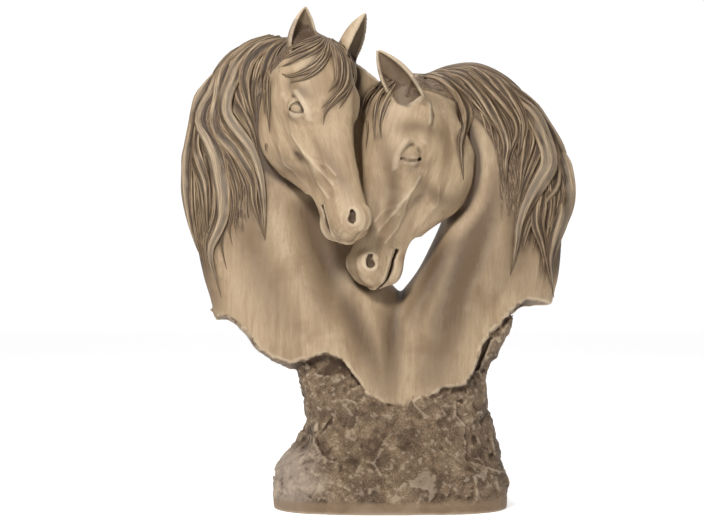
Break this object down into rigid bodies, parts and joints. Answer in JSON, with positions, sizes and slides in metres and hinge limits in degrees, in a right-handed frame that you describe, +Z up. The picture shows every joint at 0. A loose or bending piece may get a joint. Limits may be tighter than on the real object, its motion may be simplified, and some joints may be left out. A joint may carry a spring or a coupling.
{
  "type": "horse head sculpture",
  "caption": "Tabletop sculpture of two nuzzling horse heads with flowing manes, rising from a rough rock foot in one casting with a weathered driftwood finish.",
  "frame": {"origin": "centre of the foot's flat underside", "axes": "+Z up, +X to the right as seen from the front, -Y out of the front towards the viewer"},
  "size_m": [0.388, 0.1501, 0.4811],
  "materials": {
    "weathered_resin": "matt cast resin with a streaked, dark-washed driftwood paint finish"
  },
  "bodies": {
    "root": {"horse_pair_sculpture": "weathered_resin"}
  },
  "joints": []
}
